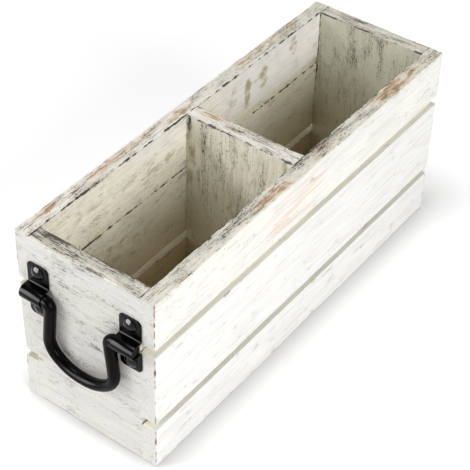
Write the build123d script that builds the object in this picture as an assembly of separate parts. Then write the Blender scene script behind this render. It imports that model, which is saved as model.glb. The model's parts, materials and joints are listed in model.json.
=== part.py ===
from build123d import *
from math import atan2, pi, tan
import os

# A long open box for cutlery, made of wooden boards, with one divider and a hanging
# handle on each end. X runs across the box, Y along it and Z up. The origin is the
# middle of the base. Lengths are in millimetres.

# Box
box_width = 125.0
box_length = 375.0
top_plank_height = 44.0
middle_plank_height = 67.0
bottom_plank_height = 39.0
plank_gap = 7.0
plank_thickness = 13.0
end_board_thickness = 13.0
divider_thickness = 14.5
divider_shift = -1.5
floor_thickness = 10.0
worn_edge = 1.2

# Nails, set just below the surface and painted over
nail_diameter = 1.6
nail_length = 30.0
nail_point_length = 2.0
nail_tip_diameter = 0.2
nail_head_diameter = 2.6
nail_head_thickness = 0.8
nail_set_depth = 0.6
nail_edge_distance = 8.0
nail_clearance = 0.02
floor_nail_spacing = 75.0
floor_nails_per_side = 5
floor_end_nail_spacing = 60.0

# Handle brackets, pressed from steel strap
bracket_width = 19.4
bracket_from_side = 20.6
bracket_half_length = 24.5
strap_thickness = 1.1
strap_bend_radius = 1.4
tab_corner_radius = 4.0
hinge_below_top = 46.8

# Domed tacks that hold the brackets
tack_offset = 17.0
tack_head_diameter = 11.6
tack_head_rim = 0.5
tack_dome_height = 2.4
tack_shank_diameter = 3.0
tack_shank_length = 9.0
tack_clearance = 0.05

# Handle bail, bent from round rod
rod_diameter = 9.3
hinge_clearance = 0.08
bail_tab_gap = 0.3
rod_end_inset = 1.0
rod_end_chamfer = 0.6
shoulder_gap = 0.1
shoulder_run = 5.6
bail_drop = 58.4
bail_flare = 4.6
bail_corner_rise = 15.0
bail_bottom_half = 14.0
lower_arc_share = 0.42
bottom_arc_share = 0.56

# How near two measures are when they count as the same
match_tolerance = 0.01

# Heights and distances that follow from the sizes above
bottom_plank_top = bottom_plank_height
middle_plank_base = bottom_plank_top + plank_gap
middle_plank_top = middle_plank_base + middle_plank_height
top_plank_base = middle_plank_top + plank_gap
box_height = top_plank_base + top_plank_height
inner_width = box_width - 2 * plank_thickness
inner_length = box_length - 2 * end_board_thickness
end_board_y = box_length / 2 - end_board_thickness / 2
hinge_height = box_height - hinge_below_top
bracket_spacing = box_width - 2 * bracket_from_side
rod_radius = rod_diameter / 2
saddle_inner_radius = rod_radius + hinge_clearance
saddle_outer_radius = saddle_inner_radius + strap_thickness
hinge_standoff = strap_thickness + bail_tab_gap + rod_radius

plank_levels = {
    "top_plank": (top_plank_base, top_plank_height),
    "middle_plank": (middle_plank_base, middle_plank_height),
    "bottom_plank": (0.0, bottom_plank_height),
}


def board(size_x, size_y, size_z, center_x, center_y, base_z):
    """A sawn board with its edges worn round."""
    block = Box(size_x, size_y, size_z)
    block = fillet(block.edges(), worn_edge)
    return Pos(center_x, center_y, base_z + size_z / 2) * block


def nail():
    """A nail along Z, its head's top at the origin and its point below."""
    shank_length = nail_length - nail_point_length
    head = Pos(0, 0, -nail_head_thickness / 2) * Cylinder(nail_head_diameter / 2, nail_head_thickness)
    shank = Pos(0, 0, -shank_length / 2) * Cylinder(nail_diameter / 2, shank_length)
    tip = Cone(nail_tip_diameter / 2, nail_diameter / 2, nail_point_length)
    return head + shank + Pos(0, 0, nail_point_length / 2 - nail_length) * tip


def nail_hole():
    """The hole that a set nail leaves, from the surface down to its point."""
    depth = nail_set_depth + nail_head_thickness
    recess = Cylinder(nail_head_diameter / 2 + nail_clearance, depth)
    bore = Cylinder(nail_diameter / 2 + nail_clearance, nail_length + nail_clearance)
    recess = Pos(0, 0, nail_set_depth - depth / 2) * recess
    return recess + Pos(0, 0, -(nail_length + nail_clearance) / 2) * bore


def side_place(side, y, z):
    """Where a nail's head goes, on the left (-1) or right (+1) of the box."""
    return Pos(side * (box_width / 2 - nail_set_depth), y, z) * Rot(0, side * 90, 0)


def end_place(end, x, z):
    """Where a nail's head goes, on the front (-1) or back (+1) of the box."""
    return Pos(x, end * (box_length / 2 - nail_set_depth), z) * Rot(-end * 90, 0, 0)


def plank_nail_heights():
    """Two nail heights for each plank, near its lower and upper edges."""
    heights = []
    for base, height in plank_levels.values():
        heights += [base + nail_edge_distance, base + height - nail_edge_distance]
    return heights


def end_board_nail_places(end):
    """Nails through both sides into the edges of one end board."""
    return [side_place(side, end * end_board_y, z) for side in (-1, 1) for z in plank_nail_heights()]


def divider_nail_places():
    """Nails through both sides into the divider, clear of the floor below it."""
    lowest = floor_thickness + nail_edge_distance
    heights = [z for z in plank_nail_heights() if z > lowest]
    return [side_place(side, divider_shift, z) for side in (-1, 1) for z in heights]


def floor_nail_places():
    """Nails through the bottom planks and the end boards into the floor's edges."""
    z = floor_thickness / 2
    first = -floor_nail_spacing * (floor_nails_per_side - 1) / 2
    along = [first + i * floor_nail_spacing for i in range(floor_nails_per_side)]
    places = [side_place(side, y, z) for side in (-1, 1) for y in along]
    across = (-floor_end_nail_spacing / 2, floor_end_nail_spacing / 2)
    return places + [end_place(end, x, z) for end in (-1, 1) for x in across]


nail_groups = {
    "front_board_nails": end_board_nail_places(-1),
    "back_board_nails": end_board_nail_places(1),
    "divider_nails": divider_nail_places(),
    "floor_nails": floor_nail_places(),
}


def tack_profile():
    """Half of a domed tack in the XZ plane, its head's flat underside at Z = 0."""
    head_radius = tack_head_diameter / 2
    shank_radius = tack_shank_diameter / 2
    head_top = tack_head_rim + tack_dome_height
    dome_radius = (tack_dome_height ** 2 + head_radius ** 2) / (2 * tack_dome_height)
    with BuildSketch(Plane.XZ) as profile:
        with BuildLine():
            Line((head_radius, 0), (head_radius, tack_head_rim))
            RadiusArc((head_radius, tack_head_rim), (0, head_top), -dome_radius)
            Polyline(
                (0, head_top),
                (0, -tack_shank_length),
                (shank_radius, shank_radius - tack_shank_length),
                (shank_radius, 0),
                (head_radius, 0),
            )
        make_face()
    return profile.sketch


def tack():
    """A domed tack along Z."""
    return revolve(tack_profile(), Axis.Z)


def tack_hole(depth):
    """The hole for a tack's shank, reaching the given depth below Z = 0."""
    radius = tack_shank_diameter / 2 + tack_clearance
    return Pos(0, 0, -depth / 2) * Cylinder(radius, depth)


def tack_places():
    """The front end's four tacks, seated on the brackets' tabs."""
    places = []
    for side in (-1, 1):
        for offset in (-tack_offset, tack_offset):
            spot = Pos(side * bracket_spacing / 2, -box_length / 2 - strap_thickness, hinge_height + offset)
            places.append(spot * Rot(90, 0, 0))
    return places


def bracket(side):
    """A front bracket: two flat tabs with a half-round saddle over the rod."""
    profile_plane = Plane(origin=(0, -box_length / 2, hinge_height), x_dir=(0, -1, 0), z_dir=(-1, 0, 0))
    with BuildSketch(profile_plane) as profile:
        with Locations((strap_thickness / 2, 0)):
            Rectangle(strap_thickness, 2 * bracket_half_length)
        with Locations((hinge_standoff / 2, 0)):
            Rectangle(hinge_standoff, 2 * saddle_outer_radius)
        with Locations((hinge_standoff, 0)):
            Circle(saddle_outer_radius)
        with Locations((hinge_standoff / 2, 0)):
            Rectangle(hinge_standoff, 2 * saddle_inner_radius, mode=Mode.SUBTRACT)
        with Locations((hinge_standoff, 0)):
            Circle(saddle_inner_radius, mode=Mode.SUBTRACT)
        fillet(bends(profile, strap_thickness, saddle_outer_radius), strap_bend_radius)
        fillet(bends(profile, 0, saddle_inner_radius), strap_bend_radius + strap_thickness)
    strap = extrude(profile.sketch, bracket_width / 2, both=True)
    tab_corners = strap.edges().filter_by(Axis.Y).filter_by(is_tab_corner)
    strap = fillet(tab_corners, tab_corner_radius)
    strap = Pos(side * bracket_spacing / 2, 0, 0) * strap
    for place in tack_places():
        strap -= place * tack_hole(2 * strap_thickness)
    return strap


def bends(profile, outward, rise):
    """The profile's two corners at this distance from the board and from the hinge."""
    level = [v for v in profile.vertices() if abs(v.X - outward) < match_tolerance]
    return [v for v in level if abs(abs(v.Y) - rise) < match_tolerance]


def is_tab_corner(edge):
    """True for the short edges at the far ends of the tabs."""
    return abs(edge.center().Z - hinge_height) > bracket_half_length - match_tolerance


def arc_radius(before, corner, after, tangent_length):
    """The radius of the arc that rounds a corner and starts this far from it."""
    arriving = atan2(corner[1] - before[1], corner[0] - before[0])
    leaving = atan2(after[1] - corner[1], after[0] - corner[0])
    turn = abs((leaving - arriving + pi) % (2 * pi) - pi)
    return tangent_length / tan(turn / 2)


def bail_path():
    """The rod's centre line: in at one bracket, down, across and up to the other."""
    bracket_inner = bracket_spacing / 2 - bracket_width / 2
    rod_end = bracket_spacing / 2 + bracket_width / 2 - rod_end_inset
    shoulder = (bracket_inner - shoulder_gap - shoulder_run, 0)
    lower = (shoulder[0] + bail_flare, bail_corner_rise - bail_drop)
    bottom = (bail_bottom_half, -bail_drop)
    slant = Vector(lower[0] - bottom[0], lower[1] - bottom[1]).length
    half = [(rod_end, 0), shoulder, lower, bottom]
    points = half + [(-x, z) for x, z in reversed(half)]
    tangents = [shoulder_run, lower_arc_share * slant, bottom_arc_share * slant]
    radii = [arc_radius(*points[i:i + 3], tangent) for i, tangent in enumerate(tangents)]
    plane = Plane(origin=(0, -box_length / 2 - hinge_standoff, hinge_height), x_dir=(1, 0, 0), z_dir=(0, -1, 0))
    with BuildLine(plane) as path:
        FilletPolyline(*points, radius=radii + radii[::-1])
    return path.wires()[0]


def bail():
    """The front handle, hanging straight down from its two brackets."""
    path = bail_path()
    section = Plane(origin=path @ 0, z_dir=path % 0) * Circle(rod_radius)
    rod = sweep(section, path)
    ends = rod.edges().group_by(Axis.X)
    return chamfer(ends[0] + ends[-1], rod_end_chamfer)


def drill(piece, holes):
    """Cut from a board each hole that passes through it."""
    box = piece.bounding_box()
    for hole in holes:
        if box.overlaps(hole.bounding_box()):
            piece = piece - hole
    return piece


def at_back(front_piece):
    """The same piece on the other end of the box."""
    return Rot(0, 0, 180) * front_piece


plank_x = box_width / 2 - plank_thickness / 2
divider_height = box_height - floor_thickness

parts = {}
for side_name, side in (("left", -1), ("right", 1)):
    for level_name, (base, height) in plank_levels.items():
        plank = board(plank_thickness, box_length, height, side * plank_x, 0, base)
        parts[f"{side_name}_{level_name}"] = plank
parts["front_board"] = board(inner_width, end_board_thickness, box_height, 0, -end_board_y, 0)
parts["back_board"] = board(inner_width, end_board_thickness, box_height, 0, end_board_y, 0)
parts["divider"] = board(inner_width, divider_thickness, divider_height, 0, divider_shift, floor_thickness)
parts["floor_board"] = board(inner_width, inner_length, floor_thickness, 0, 0, 0)

nail_places = [place for places in nail_groups.values() for place in places]
holes = [place * nail_hole() for place in nail_places]
shank_holes = [place * tack_hole(strap_thickness + tack_shank_length) for place in tack_places()]
holes += shank_holes + [at_back(hole) for hole in shank_holes]
parts = {name: drill(piece, holes) for name, piece in parts.items()}

for name, places in nail_groups.items():
    parts[name] = Compound(children=[place * nail() for place in places])

left_bracket = bracket(-1)
right_bracket = bracket(1)
tacks = [place * tack() for place in tack_places()]
front_bail = bail()
parts["front_left_bracket"] = left_bracket
parts["front_right_bracket"] = right_bracket
parts["front_bracket_tacks"] = Compound(children=tacks)
parts["front_bail"] = front_bail
parts["back_left_bracket"] = at_back(right_bracket)
parts["back_right_bracket"] = at_back(left_bracket)
parts["back_bracket_tacks"] = Compound(children=[at_back(t) for t in tacks])
parts["back_bail"] = at_back(front_bail)

os.makedirs("parts", exist_ok=True)
for name, piece in parts.items():
    export_step(piece, f"parts/{name}.step")
    print(name, [round(v, 2) for v in piece.bounding_box().size])
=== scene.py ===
import json
from itertools import combinations
from math import cos, pi, radians, sin, tan

import bmesh
import bpy
import numpy as np
from bpy.props import FloatProperty, FloatVectorProperty, PointerProperty
from mathutils import Matrix, Vector


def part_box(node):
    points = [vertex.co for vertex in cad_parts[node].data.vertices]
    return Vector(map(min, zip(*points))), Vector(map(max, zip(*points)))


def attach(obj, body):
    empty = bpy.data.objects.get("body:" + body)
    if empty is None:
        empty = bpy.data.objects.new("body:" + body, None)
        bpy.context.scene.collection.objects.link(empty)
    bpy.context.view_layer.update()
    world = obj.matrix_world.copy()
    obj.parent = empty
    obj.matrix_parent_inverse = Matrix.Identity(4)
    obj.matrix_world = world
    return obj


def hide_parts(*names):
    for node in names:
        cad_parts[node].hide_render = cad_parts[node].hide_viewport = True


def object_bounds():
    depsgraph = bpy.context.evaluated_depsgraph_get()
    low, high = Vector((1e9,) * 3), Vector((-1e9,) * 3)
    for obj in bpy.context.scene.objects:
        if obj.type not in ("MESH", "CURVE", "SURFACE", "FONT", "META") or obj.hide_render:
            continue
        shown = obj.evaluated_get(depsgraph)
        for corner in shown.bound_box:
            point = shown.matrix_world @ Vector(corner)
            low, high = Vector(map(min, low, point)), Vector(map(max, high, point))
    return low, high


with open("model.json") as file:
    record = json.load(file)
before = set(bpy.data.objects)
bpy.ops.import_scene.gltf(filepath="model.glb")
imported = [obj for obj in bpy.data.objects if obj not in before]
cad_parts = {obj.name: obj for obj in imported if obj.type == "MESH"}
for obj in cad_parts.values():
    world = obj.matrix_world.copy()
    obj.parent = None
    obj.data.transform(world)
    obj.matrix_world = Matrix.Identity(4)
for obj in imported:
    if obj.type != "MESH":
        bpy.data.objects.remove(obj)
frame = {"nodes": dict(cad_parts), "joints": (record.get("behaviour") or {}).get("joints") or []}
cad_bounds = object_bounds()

bl_info = {
    "name": "Cutlery caddy",
    "version": (1, 0, 0),
    "blender": (4, 5, 0),
    "location": "3D View > Sidebar > Caddy",
    "description": "Dresses a whitewashed wooden caddy with its worn boards and black handles",
    "category": "Object",
}

# A long open box of whitewashed pine boards with a hanging black handle on each end.
# X runs across the box, Y along it and Z up. Lengths are in metres; a millimetre is named.
MM = 0.001

# The axes X, Y and Z
ACROSS, ALONG, UP = range(3)

# Each side of a board, as an axis of its box and an end of that axis
SIDES = {
    "left": (ACROSS, 0),
    "right": (ACROSS, 1),
    "front": (ALONG, 0),
    "back": (ALONG, 1),
    "bottom": (UP, 0),
    "top": (UP, 1),
}

# How far from an edge, in millimetres, counts as nowhere near one
FAR_FROM_EDGE = 50.0

# A run or a gap shorter than this counts as none
TINY = 0.001 * MM

# A Mix node's sockets: its share, and two inputs and an output for vectors and for colours
MIX_SHARE = 0
VECTOR_A, VECTOR_B, VECTOR_OUT = 4, 5, 1
COLOUR_A, COLOUR_B, COLOUR_OUT = 6, 7, 2

WHITE = (1.0, 1.0, 1.0, 1.0)


def linear(hex_colour):
    """An sRGB hex colour as the linear red, green, blue and alpha that a shader takes.

    The numbers are those of the sRGB curve."""
    channels = []
    for start in (1, 3, 5):
        share = int(hex_colour[start:start + 2], 16) / 255
        channels.append(share / 12.92 if share <= 0.04045 else ((share + 0.055) / 1.055) ** 2.4)
    return (*channels, 1.0)


def length_setting(name, description, millimetres):
    """A length that a user may change, with its default."""
    return FloatProperty(
        name=name, description=description, default=millimetres * MM, min=0.0,
        unit="LENGTH", precision=5)


def colour_setting(name, description, hex_colour):
    """A colour that a user may change, with its default."""
    return FloatVectorProperty(
        name=name, description=description, default=linear(hex_colour), size=4, min=0.0, max=1.0,
        subtype="COLOR")


def power_setting(name, description, watts):
    """A lamp's power that a user may change, with its default."""
    return FloatProperty(name=name, description=description, default=watts, min=0.0, unit="POWER")


def share_setting(name, description, share):
    """A plain number that a user may change, with its default."""
    return FloatProperty(name=name, description=description, default=share, min=0.0)


class CaddyBoardSettings(bpy.types.PropertyGroup):
    """Sizes of the wear on the boards."""

    worn_radius: length_setting("Worn edge", "Radius of the box's outer edges, rubbed round", 1.1)
    crisp_radius: length_setting("Inner edge", "Radius of the edges inside and in the slots", 0.5)
    cell: length_setting("Skin cell", "Longest side of a face in the boards' skin", 2.2)
    unevenness: length_setting("Unevenness", "Depth of the hollows that the saw left", 0.35)
    hollow_size: length_setting("Hollow size", "Width of those hollows", 26.0)
    chip_depth: length_setting("Chip depth", "Depth of the chips along worn edges", 0.5)
    chip_size: length_setting("Chip size", "Length of those chips", 9.0)
    nick_depth: length_setting("Nick depth", "Depth of the nicks along inner edges", 0.2)
    nick_size: length_setting("Nick size", "Length of those nicks", 5.0)


class CaddyPaintSettings(bpy.types.PropertyGroup):
    """Colours of the whitewashed boards."""

    paint: colour_setting("Paint", "White of the outer faces", "#F8F6F0")
    cool_paint: colour_setting("Cool paint", "Grey-white of a second brush load", "#EDECE8")
    thin_paint: colour_setting("Thin paint", "Grey of the wood under thin paint", "#BDB7A8")
    fresh_paint: colour_setting("Fresh paint", "Neutral white where the coat is thickest", "#F5F5F4")
    inner_paint: colour_setting("Inner paint", "Cream of the faces inside the box", "#F9F5E6")
    slot_paint: colour_setting("Slot paint", "Pale cream of the faces in the slots", "#F7F5E4")
    ledge_paint: colour_setting("Ledge paint", "Cream of the slots' edges inside the box", "#F2EBDA")
    rim_paint: colour_setting("Rim paint", "Grey-cream of the faces along the top", "#EAE6DB")
    # This grey-green is painted shade on the faces inside the box and high on the front board, and a
    # film on the rims and in the paint's clouds
    film_and_shade: colour_setting("Film", "Grey-green film on the old paint", "#C9CAB6")
    # Painted shade: this brown darkens the faces inside the box towards the bottom
    low_shade_paint: colour_setting("Stained paint", "Brownish paint low inside the box", "#A8966E")
    stain: colour_setting("Stain", "Yellow-brown that has run into the paint", "#8C7422")
    bare_wood: colour_setting("Bare wood", "Tan of wood that the paint was rubbed off", "#AB8763")
    pale_wood: colour_setting("Pale wood", "Tan of wood that keeps a little paint", "#DCC6AB")
    blush: colour_setting("Blush", "Peach of the wood under whole paint", "#EFCFB8")
    corner_wood: colour_setting("Corner wood", "Brown of the rubbed corners", "#A8703A")
    pore: colour_setting("Pores", "Brown-grey of the open grain that the paint missed", "#584A36")
    line: colour_setting("Edge line", "Brown-black of the rubbed inner edges", "#21180E")


class CaddyHandleSettings(bpy.types.PropertyGroup):
    """Sizes and colour of the black handles."""

    strap_thickness: length_setting("Strap thickness", "Thickness of the brackets' steel strap", 1.1)
    strap_bend_radius: length_setting("Strap bend", "Radius of the strap's middle beside a tab", 1.95)
    tab_corner_radius: length_setting("Tab corner", "Radius of the tabs' corners", 4.0)
    metal_edge: length_setting("Metal edge", "Radius of the strap's edges", 0.3)
    tack_head_diameter: length_setting("Tack head", "Diameter of a tack's head", 11.6)
    tack_dome_height: length_setting("Tack dome", "Rise of a tack's dome above its rim", 2.4)
    tack_rim: length_setting("Tack rim", "Height of the rim below a tack's dome", 0.5)
    tack_shank_diameter: length_setting("Tack shank", "Diameter of a tack's shank", 3.0)
    tack_shank_length: length_setting("Tack length", "Length of a tack's shank", 9.0)
    rod_end_chamfer: length_setting("Rod end", "Chamfer on the rod's ends", 0.6)
    shoulder_x: length_setting("Shoulder", "Where the rod turns down, from the middle of the box", 26.5)
    bail_flare: length_setting("Bail flare", "How far the bail widens towards its lower corners", 4.6)
    corner_rise: length_setting("Corner rise", "Height of the bail's corners above its bottom", 15.0)
    bottom_half: length_setting("Bottom half", "Half the length of the bail's flat bottom", 14.0)
    shoulder_run: length_setting("Shoulder run", "Length that the shoulder's bend takes each way", 5.6)
    coat: colour_setting("Coat", "Black of the handles' coat", "#030304")


class CaddyStageSettings(bpy.types.PropertyGroup):
    """Light and floor."""

    key_power: power_setting("Key light", "Light from above", 13.0)
    side_power: power_setting("Side light", "Light from the right", 25.5)
    front_power: power_setting("Front light", "Light from the front left", 9.5)
    glint_power: power_setting("Glint", "Soft box that shows in the metal alone", 90.0)
    sky_strength: share_setting("Sky", "Even light from all round", 0.2)
    floor_glow: share_setting("Floor glow", "How much the floor is lifted to white", 0.39)
    shadow_reach: length_setting("Shadow reach", "Reach of the soft shadow round the box's foot", 28.0)
    shadow_strength: share_setting("Shadow strength", "Depth of that shadow", 0.8)
    floor_colour: colour_setting("Floor", "Pale studio floor", "#F2F2F2")


def add(tree, kind, inputs=None, out=0, **settings):
    """Adds a node with its settings, values and links, and returns one of its outputs."""
    node = tree.nodes.new(f"ShaderNode{kind}")
    for name, value in settings.items():
        setattr(node, name, value)
    for socket, value in (inputs or {}).items():
        if isinstance(value, bpy.types.NodeSocket):
            tree.links.new(value, node.inputs[socket])
        else:
            node.inputs[socket].default_value = value
    return node.outputs[out] if node.outputs else node


def new_material(name):
    """An empty material and its node tree."""
    material = bpy.data.materials.new(name)
    material.use_nodes = True
    material.node_tree.nodes.clear()
    return material, material.node_tree


def dress(piece, material):
    """Gives a piece this material and no other."""
    piece.data.materials.clear()
    piece.data.materials.append(material)


def only(piece):
    """Makes a piece the one thing that the operators act on."""
    bpy.ops.object.select_all(action="DESELECT")
    piece.select_set(True)
    bpy.context.view_layer.objects.active = piece


def select_where(piece, kind, test):
    """In edit mode, selects the VERT, EDGE or FACE elements that pass a test, and counts them."""
    bpy.ops.mesh.select_mode(type=kind)
    bpy.ops.mesh.select_all(action="DESELECT")
    mesh = bmesh.from_edit_mesh(piece.data)
    elements = {"VERT": mesh.verts, "EDGE": mesh.edges, "FACE": mesh.faces}[kind]
    chosen = [element for element in elements if test(element)]
    for element in chosen:
        element.select_set(True)
    mesh.select_flush_mode()
    bmesh.update_edit_mesh(piece.data)
    return len(chosen)


def finish_modifier(piece, kind, **settings):
    """Adds a modifier to a piece and applies it."""
    only(piece)
    modifier = piece.modifiers.new(kind.title(), kind)
    for name, value in settings.items():
        setattr(modifier, name, value)
    bpy.ops.object.modifier_apply(modifier=modifier.name)


def settle(piece):
    """Moves a piece's place and turn into its mesh, so that its object sits at the origin."""
    only(piece)
    bpy.ops.object.transform_apply(location=True, rotation=True, scale=True)


def smooth(piece, degrees):
    """Shades a piece smoothly, except across edges sharper than this."""
    only(piece)
    bpy.ops.object.shade_smooth_by_angle(angle=radians(degrees))


# The boards

# A board's wear tells along which axis the grain runs on its faces and on its rim, and
# which of its edges are rubbed round, browned, just cut or lined with black.


def plank_wear(outer, inner, rubbed):
    """A side plank: its ends' outer edges are rubbed, and so are those along the sides that
    are given."""
    ends = ("front", "back")
    levels = ("bottom", "top")
    return {
        "grain": ALONG,
        "rim_grain": ALONG,
        "worn": [(outer, side) for side in (*ends, *rubbed)],
        "corner": [(outer, end) for end in ends],
        "crisp": [(inner, level) for level in levels]
        + [(outer, level) for level in levels if level not in rubbed]
        + [(end, level) for end in ends for level in levels],
        "lined": [(inner, "top")],
    }


def end_board_wear(outer, inner, grain):
    """An end board: it stands between the side planks, so only its long edges are open."""
    return {
        "grain": grain,
        "rim_grain": ACROSS,
        "worn": [(outer, "top"), (outer, "bottom")],
        "corner": [],
        "crisp": [(inner, "top")],
        "lined": [(inner, "top"), ("left", "top"), ("left", inner)],
    }


DIVIDER_TOP = [("front", "top"), ("back", "top")]
DIVIDER_WEAR = {
    "grain": UP, "rim_grain": ACROSS, "worn": [], "corner": [],
    "crisp": DIVIDER_TOP, "lined": DIVIDER_TOP}
HIDDEN_FLOOR_WEAR = {
    "grain": ALONG, "rim_grain": ALONG, "worn": [], "corner": [], "crisp": [], "lined": []}
BOARDS = {
    "left_top_plank": plank_wear("left", "right", ("top",)),
    "left_middle_plank": plank_wear("left", "right", ()),
    "left_bottom_plank": plank_wear("left", "right", ("bottom",)),
    "right_top_plank": plank_wear("right", "left", ("top",)),
    "right_middle_plank": plank_wear("right", "left", ()),
    "right_bottom_plank": plank_wear("right", "left", ("bottom",)),
    "front_board": end_board_wear("front", "back", ACROSS),
    "back_board": end_board_wear("back", "front", UP),
    "divider": DIVIDER_WEAR,
    "floor_board": HIDDEN_FLOOR_WEAR,
}

# Every edge of a board, as the two sides that share it
ALL_EDGES = [pair for pair in combinations(SIDES, 2) if SIDES[pair[0]][0] != SIDES[pair[1]][0]]


def near(value, target):
    """True when two lengths are the same to a hundredth of a millimetre."""
    return abs(value - target) < 0.01 * MM


def lies_at(edge, axis, place):
    """True when the whole of an edge lies at one place along an axis."""
    return all(near(vertex.co[axis], place) for vertex in edge.verts)


def edge_between(corners, pair):
    """A test for the edge of a box that two of its sides share."""
    sides = [SIDES[side] for side in pair]

    def test(edge):
        return all(lies_at(edge, axis, corners[end][axis]) for axis, end in sides)

    return test


def weigh_edges(piece, corners, wear, sizes):
    """Notes on each open edge of a board how far it will be rounded."""
    bpy.ops.object.mode_set(mode="EDIT")
    for kind, radius in (("worn", sizes.worn_radius), ("crisp", sizes.crisp_radius)):
        for pair in wear[kind]:
            select_where(piece, "EDGE", edge_between(corners, pair))
            bpy.ops.transform.edge_bevelweight(value=radius / sizes.worn_radius)
    bpy.ops.object.mode_set(mode="OBJECT")


def longer_along(axis, cell):
    """A test for edges that run along an axis and are longer than a cell. Nearly all of
    such an edge's length lies along the axis."""
    straight = 0.999

    def test(edge):
        run = edge.verts[1].co - edge.verts[0].co
        return abs(run[axis]) > cell and abs(run[axis]) > straight * run.length

    return test


def refine(piece, cell):
    """Halves the long edges of a board until its whole skin is in small cells."""
    bpy.ops.object.mode_set(mode="EDIT")
    for axis in (ACROSS, ALONG, UP):
        while select_where(piece, "EDGE", longer_along(axis, cell)):
            bpy.ops.mesh.subdivide(number_cuts=1)
    bpy.ops.object.mode_set(mode="OBJECT")


def skin_points(piece):
    """The places of a piece's vertices, as rows of an array."""
    points = np.empty(len(piece.data.vertices) * 3)
    piece.data.vertices.foreach_get("co", points)
    return points.reshape(-1, 3)


def edge_distance(points, corners, pairs):
    """How far each point is from the nearest of these edges, in millimetres."""
    nearest = np.full(len(points), FAR_FROM_EDGE)
    for pair in pairs:
        gaps = [points[:, axis] - corners[end][axis] for axis, end in (SIDES[side] for side in pair)]
        nearest = np.minimum(nearest, np.hypot(*gaps) / MM)
    return nearest


def push_in(piece, name, weights, depth, size, contrast, brightness):
    """Pushes the skin of a board inwards where a cloudy texture is dark, by its weights."""
    group = piece.vertex_groups.new(name=name)
    for index, weight in enumerate(weights):
        if weight > 0:
            group.add([index], float(weight), "REPLACE")
    texture = bpy.data.textures.new(name, "CLOUDS")
    texture.noise_scale = size
    texture.contrast = contrast
    texture.intensity = brightness
    texture.use_clamp = True
    finish_modifier(
        piece, "DISPLACE", strength=depth, mid_level=1.0, vertex_group=name, texture=texture)
    piece.vertex_groups.clear()


def wear_down(piece, corners, wear, sizes):
    """Makes a board's faces uneven and chips its worn edges, but leaves its joints tight.

    The reaches are in millimetres."""
    joint_reach = 6.0
    chip_reach = 2.6
    points = skin_points(piece)
    open_edges = wear["worn"] + wear["crisp"]
    joints = [pair for pair in ALL_EDGES if pair not in open_edges and pair[::-1] not in open_edges]
    off_joints = np.clip(edge_distance(points, corners, joints) / joint_reach, 0, 1)
    on_worn = np.clip(1 - edge_distance(points, corners, wear["worn"]) / chip_reach, 0, 1)
    on_crisp = np.clip(1 - edge_distance(points, corners, wear["crisp"]) / chip_reach, 0, 1)
    push_in(
        piece, "saw_hollows", off_joints, sizes.unevenness, sizes.hollow_size,
        contrast=1.6, brightness=1.0)
    push_in(
        piece, "worn_chips", on_worn * off_joints, sizes.chip_depth, sizes.chip_size,
        contrast=3.6, brightness=1.45)
    push_in(
        piece, "small_chips", on_crisp * off_joints, sizes.nick_depth, sizes.nick_size,
        contrast=3.0, brightness=1.2)
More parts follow.
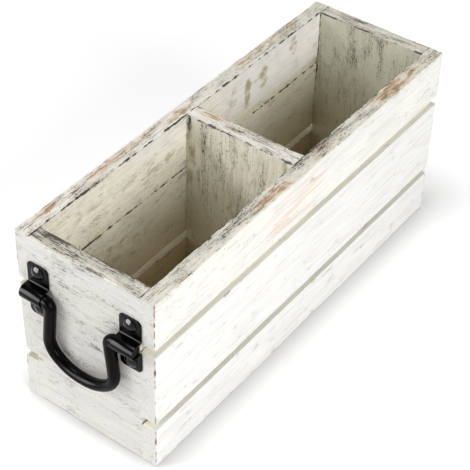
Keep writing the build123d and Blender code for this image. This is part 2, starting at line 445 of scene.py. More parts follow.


# Marks on the boards, in millimetres: the board, the middle of the mark, its reach along
# X, Y and Z, and its strength. Where a mark is bare, the paint is rubbed to the wood; where
# it is soiled, dark grain lies open; where it is stained, brown has run into the paint;
# where it is blushed, the wood's peach shows through the paint; where it is fresh, the
# paint is thick and a neutral white; where it is filmed and shaded, a grey-green film lies
# on the rims, and painted shade on the faces inside the box and high on the front board.
# The boards' outer faces lie at 62.5 across and 187.5 along, their inner faces at 49.5 and
# 174.5, and the rim at 164.
MARKS = {
    "bare": [
        ("right_top_plank", (57, -43, 164), (5.5, 27, 3), 1.0),
        ("right_top_plank", (57.5, -66, 164), (4, 16, 3), 0.8),
        ("right_top_plank", (55, 128, 164), (8, 52, 3), 0.85),
        ("right_top_plank", (57, 20, 164), (5, 60, 3), 0.4),
        ("left_top_plank", (-59, -158, 164), (6, 20, 5), 0.6),
        ("left_top_plank", (-57.5, -80, 164), (5, 75, 3), 0.7),
        ("left_top_plank", (-55, -10, 164), (5, 26, 3), 0.75),
        ("left_top_plank", (-57, 105, 164), (6, 70, 3), 0.6),
        ("divider", (-34, 2, 164), (17, 5, 3), 0.7),
        ("divider", (-8, -1, 164), (17, 4, 3), 0.5),
        ("front_board", (-46, -187.5, 147), (6, 3, 4), 0.8),
        ("front_board", (47, -187.5, 116.5), (6, 3, 5), 1.2),
        ("front_board", (47, -187.5, 44), (6, 3, 3), 1.0),
        ("front_board", (-47, -187.5, 44), (5, 3, 3), 1.0),
        ("back_board", (-47, 187.5, 116.5), (5, 3, 4), 1.0),
        ("back_board", (47, 187.5, 44), (6, 3, 3), 1.0),
        ("left_top_plank", (-62.5, 150, 163), (3, 24, 4), 0.7),
    ],
    "soiled": [
        ("front_board", (-26, -180, 164), (38, 10, 3), 1.25),
        ("front_board", (20, -179, 164), (40, 7, 3), 0.6),
        ("front_board", (4, -187.5, 161), (24, 3, 8), 0.85),
        ("front_board", (0, -187.5, 125), (70, 3, 60), 0.35),
        ("front_board", (-24, -187.5, 136), (18, 3, 9), 0.7),
        ("front_board", (6, -187.5, 141), (28, 3, 5), 0.8),
        ("front_board", (-6, -187.5, 92), (30, 3, 12), 0.7),
        ("front_board", (-10, -187.5, 68), (26, 3, 6), 0.6),
        ("right_top_plank", (55, -110, 164), (7, 80, 3), 0.55),
        ("right_top_plank", (54, 20, 164), (6, 80, 3), 0.6),
        ("left_top_plank", (-54, -95, 164), (7, 90, 3), 0.3),
        ("left_top_plank", (-54, 120, 164), (7, 80, 3), 0.35),
        ("left_top_plank", (-49.5, -90, 140), (3, 100, 26), 0.15),
        ("divider", (0, -8.7, 118), (64, 3, 70), 0.35),
        ("divider", (-47, -8.7, 157), (2.5, 3, 9), 1.7),
        ("divider", (-30, -8.7, 136), (10, 3, 46), 0.7),
        ("divider", (-14, -8.7, 130), (6, 3, 44), 0.65),
        ("divider", (24, -8.7, 136), (5, 3, 34), 0.6),
        ("divider", (20, 1, 164), (46, 7, 3), 0.5),
        ("back_board", (0, 174.5, 118), (64, 3, 70), 0.35),
        ("back_board", (12, 174.5, 132), (6, 3, 44), 0.65),
        ("back_board", (-20, 174.5, 134), (9, 3, 42), 0.5),
        ("back_board", (-37, 174.5, 140), (5, 3, 30), 0.5),
        ("back_board", (-5, 181, 164), (60, 8, 3), 0.45),
        ("right_middle_plank", (62.5, -150, 103), (3, 26, 8), 1.1),
        ("right_middle_plank", (62.5, -105, 112), (3, 7, 3), 1.7),
        ("left_middle_plank", (-49.5, 20, 100), (3, 60, 20), 0.4),
        ("left_top_plank", (-62.5, 60, 150), (3, 60, 10), 0.6),
        ("left_top_plank", (-62.5, -120, 135), (3, 40, 8), 0.5),
        ("left_middle_plank", (-62.5, 110, 90), (3, 50, 14), 0.5),
        ("left_middle_plank", (-62.5, -60, 60), (3, 60, 8), 0.5),
        ("left_bottom_plank", (-62.5, -140, 20), (3, 36, 10), 0.5),
        ("back_board", (0, 187.5, 125), (70, 3, 60), 0.35),
        ("back_board", (22, 187.5, 138), (24, 3, 8), 0.75),
        ("back_board", (-8, 187.5, 88), (30, 3, 10), 0.6),
        ("back_board", (14, 187.5, 40), (34, 3, 7), 0.5),
    ],
    "stained": [
        ("left_top_plank", (-49.5, 72, 140), (3, 6, 18), 1.3),
        ("left_top_plank", (-49.5, 94, 141), (3, 8, 15), 0.75),
        ("left_top_plank", (-49.5, 52, 143), (3, 8, 14), 0.55),
        ("left_top_plank", (-49.5, 136, 150), (3, 8, 14), 0.65),
        ("left_top_plank", (-49.5, -50, 138), (3, 40, 16), 0.45),
        ("left_top_plank", (-49.5, -130, 142), (3, 50, 20), 0.3),
        ("left_middle_plank", (-49.5, 40, 92), (3, 14, 14), 0.8),
        ("left_middle_plank", (-49.5, -110, 85), (3, 60, 24), 0.4),
        ("divider", (42, -8.7, 152), (4, 3, 22), 0.8),
        ("divider", (-46, -8.7, 120), (7, 3, 46), 0.7),
    ],
    "blushed": [
        ("right_top_plank", (62.5, -20, 142), (3, 70, 24), 0.9),
        ("right_top_plank", (62.5, 50, 146), (3, 70, 16), 0.6),
        ("right_top_plank", (56, 60, 164), (8, 140, 3), 0.7),
        ("left_top_plank", (-62.5, -40, 140), (3, 80, 22), 0.7),
        ("left_middle_plank", (-62.5, 20, 80), (3, 70, 20), 0.5),
        ("left_top_plank", (-56, -110, 164), (8, 90, 3), 0.4),
        ("left_top_plank", (-56, 120, 164), (8, 80, 3), 0.35),
    ],
    "fresh": [
        ("left_top_plank", (-49.5, 130, 150), (3, 130, 50), 1.0),
        ("left_top_plank", (-49.5, -30, 158), (3, 60, 20), 0.6),
        ("right_middle_plank", (62.5, 0, 80), (6, 600, 100), 1.0),
        ("right_bottom_plank", (62.5, 0, 20), (6, 600, 60), 1.0),
    ],
    # Painted shade on the faces inside the box and high on the front board, and a grey-green film on
    # the rims
    "dulled": [
        ("back_board", (0, 174.5, 110), (110, 3, 130), 1.0),
        ("back_board", (0, 181, 164), (120, 20, 3), 0.5),
        ("front_board", (0, -181, 164), (120, 20, 3), 0.38),
        ("right_top_plank", (56, 0, 164), (16, 400, 3), 0.43),
        ("left_top_plank", (-56, 120, 164), (16, 140, 3), 0.47),
        ("divider", (-50, -8.7, 110), (50, 3, 90), 0.52),
        ("divider", (0, -8.7, 70), (100, 3, 60), 0.5),
        ("left_middle_plank", (-49.5, -25, 100), (3, 80, 60), 0.47),
        ("left_middle_plank", (-49.5, 150, 90), (3, 80, 60), 0.47),
        ("left_top_plank", (-49.5, -15, 122), (3, 50, 16), 0.43),
        ("front_board", (-10, -187.5, 120), (70, 3, 40), 0.23),
    ],
}


def mark_strength(node, points, marks):
    """How strongly the marks on one board show at each of its points. A mark shows in full
    to half its reach and fades from there."""
    shown = np.zeros(len(points))
    for board, middle, reach, strength in marks:
        if board == node:
            away = np.linalg.norm((points / MM - middle) / reach, axis=1)
            shown = np.maximum(shown, strength * np.clip(2 * (1 - away), 0, 1))
    return shown


def places(node, points, corners):
    """Which points lie on the rim, inside the box, on the slots' inner ledges and in the
    slots, each 1 or 0, and how low a point inside lies, from 0 to 1, for the painted shade
    deep in the box. The ledges get less of that painted shade."""
    skin = 0.7 * MM
    # Painted shade deep in the box grows from the first of these heights down to the second
    shade_from, shade_to = 118 * MM, 12 * MM
    ledge_depth = 7 * MM
    ledge_shading = 0.7
    inner_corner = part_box("front_board")[1]
    floor, rim = cad_bounds[0][UP], cad_bounds[1][UP]
    across, along, height = np.abs(points[:, ACROSS]), np.abs(points[:, ALONG]), points[:, UP]
    below_rim = height < rim - skin
    faces_up = (height > corners[1].z - skin) & below_rim
    faces_down = (height < corners[0].z + skin) & (height > floor + skin)
    in_slot = (faces_up | faces_down) & ("plank" in node)
    reach = np.where(in_slot, ledge_depth, skin)
    inside = (across < inner_corner.x + reach) & (along < -inner_corner.y + reach) & below_rim
    ledge = in_slot & inside
    low = np.clip((shade_from - height) / (shade_from - shade_to), 0, 1) * inside
    return {
        "rim": ~below_rim,
        "inside": inside,
        "ledge": ledge,
        "slot": in_slot & ~inside,
        "low": np.where(ledge, ledge_shading, 1) * low,
    }


def write_fields(piece, node, wear):
    """Keeps on each vertex what the paint needs to know of its place, and names what it kept."""
    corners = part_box(node)
    points = skin_points(piece)
    fields = places(node, points, corners)
    for kind in ("worn", "corner", "lined"):
        fields[f"{kind}_mm"] = edge_distance(points, corners, wear[kind])
    for kind, marks in MARKS.items():
        fields[kind] = mark_strength(node, points, marks)
    for name, values in fields.items():
        layer = piece.data.attributes.new(name, "FLOAT", "POINT")
        layer.data.foreach_set("value", values.astype(np.float32))
    return list(fields)


def model_board(node, wear, sizes):
    """A sawn board in its place, with its own edges, hollows and chips."""
    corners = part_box(node)
    size = corners[1] - corners[0]
    bpy.ops.object.select_all(action="DESELECT")
    bpy.ops.mesh.primitive_cube_add(size=1.0, location=(corners[0] + corners[1]) / 2, scale=size)
    piece = bpy.context.active_object
    piece.name = f"worn_{node}"
    settle(piece)
    weigh_edges(piece, corners, wear, sizes)
    refine(piece, sizes.cell)
    wear_down(piece, corners, wear, sizes)
    finish_modifier(piece, "BEVEL", width=sizes.worn_radius, segments=3, limit_method="WEIGHT")
    smooth(piece, degrees=40)
    return piece


# The patterns in the paint: how far each is drawn out along the grain, the width of its
# spots in millimetres, and how many finer layers lie on it. Pine's pores are finer than
# these, which are as coarse as they need to be to show.
PAINT_PATTERNS = {
    "tone": (2.0, 30.0, 1.0),
    "cloud": (1.3, 11.0, 3.0),
    "patch": (4.0, 7.0, 3.0),
    "blotch": (2.0, 6.0, 3.0),
    "brush": (40.0, 0.9, 2.0),
    "band": (14.0, 3.5, 2.0),
    "pore": (26.0, 0.65, 2.0),
    "fleck": (3.5, 0.8, 2.0),
    "flake": (11.0, 1.2, 3.0),
    "break_up": (1.0, 8.0, 4.0),
}

# What the patterns and the board's fields add up to: a base, and what is added with its
# weight. A pattern lies about 0.5 and seldom passes 0.35 to 0.65.
PAINT_SUMS = {
    "soil": (-1.6, {
        "patch": 3.0, "soiled": 0.9, "rim": 0.45, "inside": 0.2,
        "near_worn": 0.15, "near_lined": 0.25, "fresh": -0.6}),
    "bareness": (-1.4, {"blotch": 2.4, "bare": 1.0, "rim": 0.3, "near_worn": 0.2}),
    "over_cloud": (-0.7, {"cloud": 1.0, "inside": 0.22}),
    "over_streaks": (-0.65, {"pore": 1.0, "soil": 0.13, "bareness": 0.04}),
    "over_dark": (-0.725, {"pore": 0.65, "fleck": 0.35, "soil": 0.17, "inside": -0.04}),
    "over_flecks": (-0.685, {"fleck": 1.0, "soil": 0.13}),
    "over_wood": (-0.75, {"flake": 1.0, "bareness": 0.28}),
    "over_blush": (-0.74, {"band": 1.0, "blushed": 0.28}),
    "over_stain": (-0.64, {"blotch": 1.0, "stained": 0.36}),
    "over_line": (-2.2, {"break_up": 6.0, "lined_mm": -1.0, "low": -1.6}),
    "over_corner": (-0.6, {"break_up": 3.0, "corner_mm": -1.0}),
    "over_corner_dark": (-1.5, {"break_up": 4.0, "corner_mm": -1.0}),
}

# Where each layer begins to show, where it shows in full, and how strongly
PAINT_FADES = {
    "near_worn": ("worn_mm", 6.0, 0.3, 1.0),
    "near_lined": ("lined_mm", 5.0, 0.3, 1.0),
    "cool": ("tone", 0.4, 0.62, 0.6),
    "dull_rim": ("rim", 0.0, 1.0, 0.8),
    "whiter": ("fresh", 0.0, 1.0, 0.75),
    # Painted shade and a grey-green film, where the marks of that kind lie
    "film_and_shade": ("dulled", 0.0, 1.0, 0.9),
    "cloudy": ("over_cloud", 0.0, 0.2, 0.2),
    # Painted shade, darker and browner towards the bottom inside the box
    "low_shade": ("low", 0.0, 1.0, 0.9),
    "thin": ("brush", 0.54, 0.36, 0.2),
    "banded": ("band", 0.5, 0.68, 0.16),
    "grimy": ("soil", 0.3, 1.4, 0.3),
    "rubbed": ("bareness", 0.2, 1.1, 0.65),
    "blush": ("over_blush", 0.0, 0.14, 0.5),
    "stain": ("over_stain", -0.07, 0.34, 0.7),
    "wood": ("over_wood", 0.0, 0.07, 0.85),
    "streaks": ("over_streaks", 0.0, 0.07, 0.5),
    "flecks": ("over_flecks", 0.0, 0.04, 0.65),
    "dark_streaks": ("over_dark", 0.0, 0.035, 0.8),
    "corner_line": ("over_corner", 0.0, 0.25, 0.8),
    "corner_dark": ("over_corner_dark", 0.0, 0.25, 0.9),
    "inner_line": ("over_line", 0.0, 0.5, 0.95),
}

# The coats of colour from the first to the last: where each shows, and its colour
PAINT_COATS = [
    ("cool", "cool_paint"),
    ("inside", "inner_paint"),
    ("slot", "slot_paint"),
    ("ledge", "ledge_paint"),
    ("dull_rim", "rim_paint"),
    ("whiter", "fresh_paint"),
    # Painted shade and a grey-green film over the marks of that kind, then the film's clouds
    ("film_and_shade", "film_and_shade"),
    ("cloudy", "film_and_shade"),
    # Painted shade deep in the box
    ("low_shade", "low_shade_paint"),
    ("blush", "blush"),
    ("thin", "thin_paint"),
    ("banded", "thin_paint"),
    ("grimy", "pore"),
    ("rubbed", "pale_wood"),
    ("stain", "stain"),
    ("wood", "bare_wood"),
    ("streaks", "pore"),
    ("flecks", "pore"),
    ("dark_streaks", "line"),
    ("corner_line", "corner_wood"),
    ("corner_dark", "line"),
    ("inner_line", "line"),
]


def paint_patterns(tree, wear, shift, rim):
    """The paint's patterns on one board, each drawn out along the grain: one way on the
    board's faces, and along the board on its rim."""
    place = add(tree, "TexCoord", out="Object")
    in_mm = add(tree, "Mapping", {
        "Vector": place, "Location": (shift, shift, shift), "Scale": (1 / MM, 1 / MM, 1 / MM)})
    patterns = {}
    for name, (stretch, width, layers) in PAINT_PATTERNS.items():
        ways = []
        for grain in (wear["grain"], wear["rim_grain"]):
            scale = [1 / width, 1 / width, 1 / width]
            scale[grain] /= stretch
            ways.append(add(tree, "Mapping", {"Vector": in_mm, "Scale": scale}))
        drawn_out = add(tree, "Mix", {
            MIX_SHARE: rim, VECTOR_A: ways[0], VECTOR_B: ways[1]}, out=VECTOR_OUT, data_type="VECTOR")
        patterns[name] = add(tree, "TexNoise", {"Vector": drawn_out, "Scale": 1.0, "Detail": layers})
    return patterns


def work_out(tree, name, known):
    """Works out one of the paint's sums or fades, and first those that it is made of."""
    if name in known:
        return known[name]
    if name in PAINT_SUMS:
        result, terms = PAINT_SUMS[name]
        for term, weight in terms.items():
            value = work_out(tree, term, known)
            result = add(tree, "Math", {0: value, 1: weight, 2: result}, operation="MULTIPLY_ADD")
    else:
        source, start, end, strength = PAINT_FADES[name]
        value = work_out(tree, source, known)
        result = add(tree, "MapRange", {
            "Value": value, "From Min": start, "From Max": end, "To Max": strength},
            interpolation_type="SMOOTHSTEP")
    known[name] = result
    return result


def painted_pine(node, wear, index, fields, colours):
    """Whitewashed pine: a rough-sawn softwood board brushed with one thin coat of white
    paint and rubbed back. The eye sees a chalky white with brush lines along the grain,
    dark open pores that the paint missed, tan wood where edges and high spots lost it,
    and black broken lines along the inner edges."""
    material, tree = new_material(f"whitewashed_pine_{node}")
    shift_between_boards = 137.0
    shift = shift_between_boards * (index + 1)
    known = {name: add(tree, "Attribute", out="Fac", attribute_name=name) for name in fields}
    known.update(paint_patterns(tree, wear, shift, known["rim"]))
    surface = colours.paint
    for coat, colour in PAINT_COATS:
        shown = work_out(tree, coat, known)
        surface = add(tree, "Mix", {
            MIX_SHARE: shown, COLOUR_A: surface, COLOUR_B: getattr(colours, colour)},
            out=COLOUR_OUT, data_type="RGBA")
    worn_away = add(tree, "Math", {0: known["streaks"], 1: known["wood"]}, operation="ADD")
    relief = add(tree, "Math", {0: known["brush"], 1: worn_away}, operation="SUBTRACT")
    normal = add(tree, "Bump", {"Strength": 0.6, "Distance": 0.1 * MM, "Height": relief})
    roughness = add(tree, "MapRange", {"Value": known["wood"], "To Min": 0.62, "To Max": 0.85})
    shader = add(tree, "BsdfPrincipled", {
        "Base Color": surface, "Roughness": roughness, "Normal": normal})
    add(tree, "OutputMaterial", {"Surface": shader})
    return material


class CADDY_OT_boards(bpy.types.Operator):
    """Model and paint the ten wooden boards"""

    bl_idname = "caddy.boards"
    bl_label = "Boards"

    def execute(self, context):
        for index, (node, wear) in enumerate(BOARDS.items()):
            piece = model_board(node, wear, context.scene.caddy_boards)
            fields = write_fields(piece, node, wear)
            dress(piece, painted_pine(node, wear, index, fields, context.scene.caddy_paint))
            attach(piece, "caddy")
            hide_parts(node)
        return {"FINISHED"}


# The handles


def black_coat(name, colour, gloss, smoothest, roughest):
    """Satin powder coat: black polyester baked on steel. The eye sees an even black with
    soft, broad highlights that break up over a fine orange-peel texture."""
    material, tree = new_material(name)
    place = add(tree, "TexCoord", out="Object")
    peel_size = 0.8 * MM
    peel = add(tree, "TexNoise", {"Vector": place, "Scale": 1 / peel_size, "Detail": 2.0})
    handled_size = 12 * MM
    handled = add(tree, "TexNoise", {"Vector": place, "Scale": 1 / handled_size, "Detail": 3.0})
    roughness = add(tree, "MapRange", {"Value": handled, "To Min": smoothest, "To Max": roughest})
    normal = add(tree, "Bump", {"Strength": 0.25, "Distance": 0.03 * MM, "Height": peel})
    shader = add(tree, "BsdfPrincipled", {
        "Base Color": colour, "Roughness": roughness, "Normal": normal, "Specular IOR Level": gloss})
    add(tree, "OutputMaterial", {"Surface": shader})
    return material


def follow(points, radii, steps):
    """Carries the selected edges along a line, turning round each corner on an arc.

    The edges start at the first point. The line lies in one plane, and each corner
    between its ends has a radius."""
    reached = points[0]
    for before, corner, after, radius in zip(points, points[1:], points[2:], radii):
        arriving = (corner - before).normalized()
        leaving = (after - corner).normalized()
        turn = arriving.angle(leaving)
        hinge = arriving.cross(leaving).normalized()
        arc_start = corner - arriving * radius * tan(turn / 2)
        arc_end = corner + leaving * radius * tan(turn / 2)
        carry(arc_start - reached)
        centre = arc_start + hinge.cross(arriving) * radius
        bpy.ops.mesh.spin(steps=steps, angle=turn, center=centre, axis=-hinge)
        reached = arc_end
    carry(points[-1] - reached)


def carry(move):
    """Extrudes the selected edges in a straight run, where there is one to make."""
    if move.length > TINY:
        bpy.ops.mesh.extrude_region_move(TRANSFORM_OT_translate={"value": move})


def model_bracket(name, node, hinge, sizes):
    """A strap bracket of the front end: two flat tabs and a saddle over the rod. The strap
    is drawn out from a short first run at its top."""
    low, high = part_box(node)
    half_strap = sizes.strap_thickness / 2
    saddle_radius = hinge.y - low.y - half_strap
    saddle_top, saddle_bottom = hinge.z + saddle_radius, hinge.z - saddle_radius
    tab_y = high.y - half_strap
    front_y = hinge.y - saddle_radius
    middle_x = (low.x + high.x) / 2
    first_run = 5 * MM
    places_in_turn = (
        (tab_y, high.z),
        (tab_y, saddle_top),
        (front_y, saddle_top),
        (front_y, saddle_bottom),
        (tab_y, saddle_bottom),
        (tab_y, low.z),
    )
    line = [Vector((middle_x, y, z)) for y, z in places_in_turn]
    bend = sizes.strap_bend_radius
    bpy.ops.object.select_all(action="DESELECT")
    bpy.ops.mesh.primitive_plane_add(size=1.0, rotation=(radians(90), 0, 0))
    piece = bpy.context.active_object
    piece.name = name
    piece.scale = (high.x - low.x, first_run, 1.0)
    piece.location = line[0] - Vector((0, 0, first_run / 2))
    settle(piece)
    bpy.ops.object.mode_set(mode="EDIT")
    select_where(piece, "EDGE", lambda edge: lies_at(edge, UP, high.z - first_run))
    line[0] = line[0] - Vector((0, 0, first_run))
    follow(line, [bend, saddle_radius, saddle_radius, bend], steps=8)
    select_where(
        piece, "VERT", lambda vertex: near(vertex.co.z, high.z) or near(vertex.co.z, low.z))
    bpy.ops.mesh.bevel(offset=sizes.tab_corner_radius, segments=8, affect="VERTICES")
    bpy.ops.mesh.select_all(action="SELECT")
    bpy.ops.mesh.remove_doubles(threshold=TINY)
    bpy.ops.mesh.normals_make_consistent(inside=False)
    bpy.ops.object.mode_set(mode="OBJECT")
    finish_modifier(piece, "SOLIDIFY", thickness=sizes.strap_thickness, offset=0.0)
    finish_modifier(
        piece, "BEVEL", width=sizes.metal_edge, segments=3,
        limit_method="ANGLE", angle_limit=radians(50))
    smooth(piece, degrees=35)
    return piece


def copy_to_back(piece, name):
    """The same piece on the back end, with a mesh of its own."""
    only(piece)
    bpy.ops.object.duplicate(linked=False)
    copy = bpy.context.active_object
    copy.name = name
    bpy.ops.transform.rotate(value=pi, orient_axis="Z", center_override=(0, 0, 0))
    settle(copy)
    return copy


def hinge_place(joint_name):
    """The middle of a handle's hinge."""
    return Vector(next(joint["pos_m"] for joint in frame["joints"] if joint["name"] == joint_name))


def finish_metal(piece, node, body, material):
    """Coats a handle piece and lets it stand for its node."""
    dress(piece, material)
    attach(piece, body)
    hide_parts(node)


class CADDY_OT_brackets(bpy.types.Operator):
    """Model the four strap brackets that hold the handles"""

    bl_idname = "caddy.brackets"
    bl_label = "Brackets"

    def execute(self, context):
        sizes = context.scene.caddy_handle
        coat = black_coat(
            "black_powder_coat_brackets", sizes.coat, gloss=0.09, smoothest=0.14, roughest=0.24)
        hinge = hinge_place("front_bail_hinge")
        for side, opposite in (("left", "right"), ("right", "left")):
            front = model_bracket(f"strap_front_{side}", f"front_{side}_bracket", hinge, sizes)
            back = copy_to_back(front, f"strap_back_{opposite}")
            finish_metal(front, f"front_{side}_bracket", "caddy", coat)
            finish_metal(back, f"back_{opposite}_bracket", "caddy", coat)
        return {"FINISHED"}


def model_tack(tab_face, sizes):
    """A domed tack that points into the board, its head seated on a bracket's tab."""
    head_radius = sizes.tack_head_diameter / 2
    rise = sizes.tack_dome_height
    dome_radius = (rise ** 2 + head_radius ** 2) / (2 * rise)
    middle_y = tab_face.y - sizes.tack_rim - rise + dome_radius
    rim_y = tab_face.y - sizes.tack_rim
    bpy.ops.object.select_all(action="DESELECT")
    bpy.ops.mesh.primitive_uv_sphere_add(
        segments=40, ring_count=48, radius=dome_radius,
        location=(tab_face.x, middle_y, tab_face.z), rotation=(radians(90), 0, 0))
    tack = bpy.context.active_object
    settle(tack)
    bpy.ops.object.mode_set(mode="EDIT")
    bpy.ops.mesh.select_all(action="SELECT")
    bpy.ops.mesh.bisect(
        plane_co=(tab_face.x, rim_y, tab_face.z), plane_no=(0, 1, 0), clear_outer=True, use_fill=False)
    select_where(tack, "EDGE", lambda edge: edge.is_boundary)
    bpy.ops.mesh.extrude_region_move(TRANSFORM_OT_translate={"value": (0, sizes.tack_rim, 0)})
    bpy.ops.mesh.edge_face_add()
    bpy.ops.mesh.inset(thickness=head_radius - sizes.tack_shank_diameter / 2, depth=0)
    bpy.ops.mesh.extrude_region_move(TRANSFORM_OT_translate={"value": (0, sizes.tack_shank_length, 0)})
    bpy.ops.mesh.select_all(action="SELECT")
    bpy.ops.mesh.normals_make_consistent(inside=False)
    bpy.ops.object.mode_set(mode="OBJECT")
    return tack


class CADDY_OT_tacks(bpy.types.Operator):
    """Model the domed tacks that fasten the brackets"""

    bl_idname = "caddy.tacks"
    bl_label = "Tacks"

    def execute(self, context):
        sizes = context.scene.caddy_handle
        low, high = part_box("front_bracket_tacks")
        head_diameter = sizes.tack_head_diameter
        radius = head_diameter / 2
        tab_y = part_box("front_left_bracket")[1].y - sizes.strap_thickness
        first = model_tack(Vector((low.x + radius, tab_y, low.z + radius)), sizes)
        across = high.x - low.x - head_diameter
        upwards = high.z - low.z - head_diameter
        tacks = [first]
        for move in ((0, 0, upwards), (across, 0, 0), (across, 0, upwards)):
            only(first)
            bpy.ops.object.duplicate(linked=False)
            bpy.ops.transform.translate(value=move)
            tacks.append(bpy.context.active_object)
        for tack in tacks:
            tack.select_set(True)
        bpy.ops.object.join()
        front = bpy.context.active_object
        front.name = "domed_tacks_front"
        settle(front)
        smooth(front, degrees=40)
        back = copy_to_back(front, "domed_tacks_back")
        coat = black_coat(
            "black_powder_coat_tacks", sizes.coat, gloss=0.26, smoothest=0.04, roughest=0.08)
        finish_metal(front, "front_bracket_tacks", "caddy", coat)
        finish_metal(back, "back_bracket_tacks", "caddy", coat)
        return {"FINISHED"}


# The shares of the bail's slanting side that the bends at its two ends take
LOWER_ARC_SHARE = 0.42
BOTTOM_ARC_SHARE = 0.56


def model_bail(name, node, hinge, sizes):
    """The front handle: a round rod that hangs between its brackets."""
    low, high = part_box(node)
    rod_radius = (high.y - low.y) / 2
    bottom_z = low.z + rod_radius
    lower_x = sizes.shoulder_x + sizes.bail_flare
    half = [
        Vector((high.x, hinge.y, hinge.z)),
        Vector((sizes.shoulder_x, hinge.y, hinge.z)),
        Vector((lower_x, hinge.y, bottom_z + sizes.corner_rise)),
        Vector((sizes.bottom_half, hinge.y, bottom_z)),
    ]
    line = half + [Vector((-point.x, point.y, point.z)) for point in reversed(half)]
    slant = (half[2] - half[3]).length
    runs = [sizes.shoulder_run, LOWER_ARC_SHARE * slant, BOTTOM_ARC_SHARE * slant]
    radii = []
    for before, corner, after, run in zip(half, half[1:], line[2:], runs):
        turn = (corner - before).angle(after - corner)
        radii.append(run / tan(turn / 2))
    bpy.ops.object.select_all(action="DESELECT")
    bpy.ops.mesh.primitive_circle_add(
        vertices=40, radius=rod_radius, fill_type="NOTHING",
        location=half[0], rotation=(0, radians(90), 0))
    piece = bpy.context.active_object
    piece.name = name
    settle(piece)
    bpy.ops.object.mode_set(mode="EDIT")
    bpy.ops.mesh.select_mode(type="EDGE")
    bpy.ops.mesh.select_all(action="SELECT")
    follow(line, radii + radii[::-1], steps=14)
    for end_x in (high.x, -high.x):
        select_where(piece, "EDGE", lambda edge: lies_at(edge, ACROSS, end_x))
        bpy.ops.mesh.edge_face_add()
    select_where(
        piece, "EDGE", lambda edge: lies_at(edge, ACROSS, high.x) or lies_at(edge, ACROSS, -high.x))
    bpy.ops.mesh.bevel(offset=sizes.rod_end_chamfer, segments=3, affect="EDGES")
    bpy.ops.mesh.select_all(action="SELECT")
    bpy.ops.mesh.normals_make_consistent(inside=False)
    bpy.ops.object.mode_set(mode="OBJECT")
    smooth(piece, degrees=50)
    return piece


class CADDY_OT_bails(bpy.types.Operator):
    """Model the two hanging handles"""

    bl_idname = "caddy.bails"
    bl_label = "Bails"

    def execute(self, context):
        sizes = context.scene.caddy_handle
        coat = black_coat(
            "black_powder_coat_bails", sizes.coat, gloss=0.06, smoothest=0.18, roughest=0.28)
        front = model_bail("rod_front_bail", "front_bail", hinge_place("front_bail_hinge"), sizes)
        back = copy_to_back(front, "rod_back_bail")
        finish_metal(front, "front_bail", "front_bail", coat)
        finish_metal(back, "back_bail", "back_bail", coat)
        return {"FINISHED"}


# The nails keep the shapes that they have in the frame

NAIL_NODES = ("front_board_nails", "back_board_nails", "divider_nails", "floor_nails")


def drawn_steel():
    """Plain drawn wire, cut and headed. The eye sees a dull grey metal with fine lines
    from the drawing die and a few duller spots."""
    material, tree = new_material("drawn_steel_nails")
    place = add(tree, "TexCoord", out="Object")
    spot_size = 1.5 * MM
    spots = add(tree, "TexNoise", {"Vector": place, "Scale": 1 / spot_size, "Detail": 3.0})
    roughness = add(tree, "MapRange", {"Value": spots, "To Min": 0.3, "To Max": 0.5})
    colour = add(tree, "Mix", {
        MIX_SHARE: spots, COLOUR_A: linear("#9A9A9C"), COLOUR_B: linear("#B4B4B6")},
        out=COLOUR_OUT, data_type="RGBA")
    shader = add(tree, "BsdfPrincipled", {
        "Base Color": colour, "Metallic": 1.0, "Roughness": roughness})
    add(tree, "OutputMaterial", {"Surface": shader})
    return material


class CADDY_OT_nails(bpy.types.Operator):
    """Give the nails in the boards their steel"""

    bl_idname = "caddy.nails"
    bl_label = "Nails"

    def execute(self, context):
        steel = drawn_steel()
        for node in NAIL_NODES:
            dress(frame["nodes"][node], steel)
        return {"FINISHED"}


# The stage


def white_to_the_eye(tree):
    """1 for rays from the eye, from a reflection or through glass, and 0 for plain light."""
    rays = add(tree, "LightPath").node.outputs
    seen = add(tree, "Math", {0: rays["Is Camera Ray"], 1: rays["Is Glossy Ray"]}, operation="MAXIMUM")
    return add(tree, "Math", {0: seen, 1: rays["Is Transmission Ray"]}, operation="MAXIMUM")


def floor_material(settings):
    """Studio paper: matt and nearly white, lifted to white where no shadow falls on it. It is
    darker where it meets the box, a shadow painted into its colour for the eye, and plain
    white far from it."""
    paper_end, backdrop_start = 0.6, 1.4
    material, tree = new_material("studio_paper")
    seen = white_to_the_eye(tree)
    place = add(tree, "TexCoord", out="Object")
    # A painted shadow: for the eye, the paper's colour darkens where the box keeps the sky from it
    open_sky = add(tree, "AmbientOcclusion", {
        "Color": settings.floor_colour, "Distance": settings.shadow_reach}, samples=16)
    shown = add(tree, "Math", {0: seen, 1: settings.shadow_strength}, operation="MULTIPLY")
    colour = add(tree, "Mix", {
        MIX_SHARE: shown, COLOUR_A: settings.floor_colour, COLOUR_B: open_sky},
        out=COLOUR_OUT, data_type="RGBA")
    lifted = add(tree, "Math", {0: seen, 1: settings.floor_glow}, operation="MULTIPLY")
    paper = add(tree, "BsdfPrincipled", {
        "Base Color": colour, "Roughness": 0.9, "Specular IOR Level": 0.0,
        "Emission Color": colour, "Emission Strength": lifted})
    white = add(tree, "Emission", {"Color": WHITE, "Strength": 1.0})
    away = add(tree, "VectorMath", {0: place}, out="Value", operation="LENGTH")
    far_off = add(tree, "MapRange", {"Value": away, "From Min": paper_end, "From Max": backdrop_start})
    backdrop = add(tree, "Math", {0: seen, 1: far_off}, operation="MULTIPLY")
    shader = add(tree, "MixShader", {0: backdrop, 1: paper, 2: white})
    add(tree, "OutputMaterial", {"Surface": shader})
    return material


def lay_floor(settings):
    """A wide, pale floor just under the box."""
    width = 8.0
    gap = 0.05 * MM
    bpy.ops.object.select_all(action="DESELECT")
    bpy.ops.mesh.primitive_plane_add(size=width, location=(0, 0, -gap))
    floor = bpy.context.active_object
    floor.name = "floor"
    dress(floor, floor_material(settings))


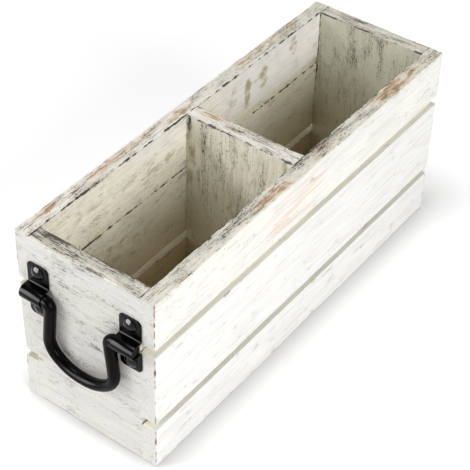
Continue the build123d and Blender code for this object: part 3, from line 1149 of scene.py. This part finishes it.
def light_sky(settings):
    """A world that is white to the eye along the horizon, dims overhead and lights the
    box evenly. The two heights are parts of the way from the horizon to straight up."""
    white_up_to, dim_from = 0.3, 0.7
    world = bpy.data.worlds.new("studio")
    bpy.context.scene.world = world
    world.use_nodes = True
    tree = world.node_tree
    tree.nodes.clear()
    direction = add(tree, "TexCoord", out="Generated")
    upwards = add(tree, "SeparateXYZ", {"Vector": direction}, out="Z")
    backdrop = add(tree, "MapRange", {
        "Value": upwards, "From Min": white_up_to, "From Max": dim_from,
        "To Min": 1.0, "To Max": settings.sky_strength})
    strength = add(tree, "MapRange", {
        "Value": white_to_the_eye(tree), "To Min": settings.sky_strength, "To Max": backdrop})
    sky = add(tree, "Background", {"Color": WHITE, "Strength": strength})
    add(tree, "OutputWorld", {"Surface": sky})


# The soft boxes: where each hangs, its width and height, and the setting of its power
LAMPS = {
    "key_lamp": ((-0.3, -0.3, 1.9), (0.6, 0.6), "key_power"),
    "side_lamp": ((1.7, -0.4, 1.0), (1.0, 1.0), "side_power"),
    "front_lamp": ((-1.05, -1.3, 1.05), (0.5, 0.5), "front_power"),
    "glint_lamp": ((-0.8, -1.5, 0.5), (1.5, 1.1), "glint_power"),
}


def hang_lamp(name, place, size, power):
    """A soft box that points at the middle of the caddy."""
    aim = Vector((0.0, 0.0, 0.08))
    bpy.ops.object.light_add(type="AREA", location=place)
    lamp = bpy.context.active_object
    lamp.name = name
    lamp.rotation_euler = (aim - Vector(place)).to_track_quat("-Z", "Y").to_euler()
    lamp.data.shape = "RECTANGLE"
    lamp.data.size, lamp.data.size_y = size
    lamp.data.energy = power
    return lamp


def place_camera():
    """The camera stands to the right of the front end and looks down into the box."""
    azimuth, elevation, roll = radians(35.134), radians(41.402), radians(2.005)
    distance = 1.15
    aim = Vector((0.00427, -0.01542, 0.07513))
    back = Vector((sin(azimuth) * cos(elevation), -cos(azimuth) * cos(elevation), sin(elevation)))
    bpy.ops.object.camera_add(location=aim + distance * back)
    camera = bpy.context.active_object
    camera.name = "camera"
    level = back.to_track_quat("Z", "Y").to_matrix()
    camera.rotation_euler = (level @ Matrix.Rotation(roll, 3, "Z")).to_euler()
    camera.data.sensor_width = 36.0
    camera.data.lens = 112.05
    bpy.context.scene.camera = camera


class CADDY_OT_stage(bpy.types.Operator):
    """Set up the floor, the light and the camera"""

    bl_idname = "caddy.stage"
    bl_label = "Stage"

    def execute(self, context):
        settings = context.scene.caddy_stage
        lay_floor(settings)
        light_sky(settings)
        for name, (place, size, power) in LAMPS.items():
            lamp = hang_lamp(name, place, size, getattr(settings, power))
            # The glint shows in the metal and lights no paint
            lamp.visible_diffuse = name != "glint_lamp"
        place_camera()
        context.scene.view_settings.view_transform = "Standard"
        return {"FINISHED"}


class CADDY_PT_panel(bpy.types.Panel):
    """The pieces of the caddy, each with its button"""

    bl_idname = "CADDY_PT_panel"
    bl_label = "Cutlery caddy"
    bl_space_type = "VIEW_3D"
    bl_region_type = "UI"
    bl_category = "Caddy"

    def draw(self, context):
        for operator in OPERATORS:
            self.layout.operator(operator.bl_idname)


SETTINGS = {
    "caddy_boards": CaddyBoardSettings,
    "caddy_paint": CaddyPaintSettings,
    "caddy_handle": CaddyHandleSettings,
    "caddy_stage": CaddyStageSettings,
}
OPERATORS = (
    CADDY_OT_boards,
    CADDY_OT_brackets,
    CADDY_OT_tacks,
    CADDY_OT_bails,
    CADDY_OT_nails,
    CADDY_OT_stage,
)


def register():
    for name, group in SETTINGS.items():
        bpy.utils.register_class(group)
        setattr(bpy.types.Scene, name, PointerProperty(type=group))
    for operator in OPERATORS:
        bpy.utils.register_class(operator)
    bpy.utils.register_class(CADDY_PT_panel)


def unregister():
    bpy.utils.unregister_class(CADDY_PT_panel)
    for operator in reversed(OPERATORS):
        bpy.utils.unregister_class(operator)
    for name, group in reversed(SETTINGS.items()):
        delattr(bpy.types.Scene, name)
        bpy.utils.unregister_class(group)


def main():
    """Makes every piece and the stage."""
    register()
    bpy.ops.caddy.boards()
    bpy.ops.caddy.brackets()
    bpy.ops.caddy.tacks()
    bpy.ops.caddy.bails()
    bpy.ops.caddy.nails()
    bpy.ops.caddy.stage()


if __name__ == "__main__":
    main()
